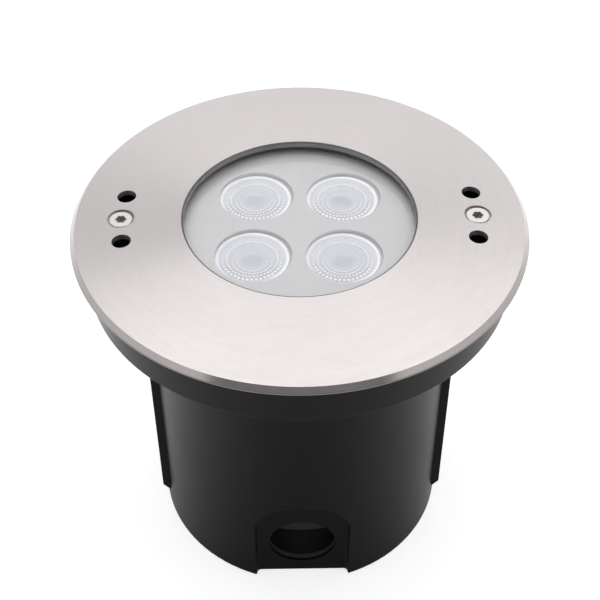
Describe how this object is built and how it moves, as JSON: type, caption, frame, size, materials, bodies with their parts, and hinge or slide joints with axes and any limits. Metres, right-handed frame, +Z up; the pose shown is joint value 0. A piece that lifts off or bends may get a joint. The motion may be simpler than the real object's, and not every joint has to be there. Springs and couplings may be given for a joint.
{
  "type": "recessed ground light",
  "caption": "Round in-ground light: a glazed lamp unit under a domed steel plate that lifts out of a buried plastic sleeve.",
  "frame": {"origin": "centre of the sleeve's base, on the surface that it stands on", "axes": "+Z up through the glass; -Y towards the cable entry; the two face screws lie on X"},
  "size_m": [0.15, 0.15, 0.1342],
  "materials": {
    "brushed_steel": "fine turned grain",
    "sleeve_plastic": "satin black moulding",
    "black_rubber": "matt",
    "brass": "turned",
    "fastener_steel": "passivated",
    "nylon": "natural",
    "window_glass": "polished",
    "silver_paint": "matt silver",
    "clear_lens": "polished optic",
    "white_plastic": "satin",
    "emitter_ceramic": "clear dome on white ceramic",
    "board_mask": "white solder mask",
    "cast_aluminium": "dark powder coat on a casting",
    "ferrite": "matt",
    "black_plastic": "moulded",
    "lead_sheath": "flexible",
    "plated_brass": "nickel plated"
  },
  "bodies": {
    "sleeve": {"mounting_sleeve": "sleeve_plastic", "sleeve_gasket": "black_rubber", "sleeve_inserts": "brass"},
    "lamp_unit": {"face_plate": "brushed_steel", "plate_studs": "fastener_steel", "stud_washers": "fastener_steel", "stud_nuts": "fastener_steel", "screw_washers": "nylon", "upper_gasket": "black_rubber", "glass_window": "window_glass", "lower_gasket": "black_rubber", "lens_plate": "silver_paint", "lens_front_left": "clear_lens", "lens_front_right": "clear_lens", "lens_back_left": "clear_lens", "lens_back_right": "clear_lens", "lens_holder_front_left": "white_plastic", "lens_holder_front_right": "white_plastic", "lens_holder_back_left": "white_plastic", "lens_holder_back_right": "white_plastic", "emitters": "emitter_ceramic", "led_board": "board_mask", "board_screws": "fastener_steel", "lamp_housing": "cast_aluminium", "driver_board": "board_mask", "driver_transformer": "ferrite", "driver_capacitors": "ferrite", "terminal_block": "black_plastic", "driver_screws": "fastener_steel", "led_leads": "lead_sheath", "rear_cover": "cast_aluminium", "cover_seal": "black_rubber", "cover_screws": "fastener_steel", "gland_body": "plated_brass", "gland_seal": "black_rubber", "gland_washer": "black_rubber", "gland_locknut": "plated_brass"},
    "screw_left": {"face_screw_left": "fastener_steel"},
    "screw_right": {"face_screw_right": "fastener_steel"},
    "cable_nut": {"gland_nut": "plated_brass"}
  },
  "joints": [
    {"name": "lamp_lift", "type": "slide", "parent": "sleeve", "child": "lamp_unit", "axis": [0, 0, 1], "range_m": [0, 0.12]},
    {"name": "screw_left_turn", "type": "hinge", "parent": "lamp_unit", "child": "screw_left", "pos_m": [-0.0585, 0, 0.13], "axis": [0, 0, 1], "continuous": true},
    {"name": "screw_right_turn", "type": "hinge", "parent": "lamp_unit", "child": "screw_right", "pos_m": [0.0585, 0, 0.13], "axis": [0, 0, 1], "continuous": true},
    {"name": "cable_nut_turn", "type": "hinge", "parent": "lamp_unit", "child": "cable_nut", "pos_m": [0, 0, 0.015], "axis": [0, 0, 1], "continuous": true}
  ]
}
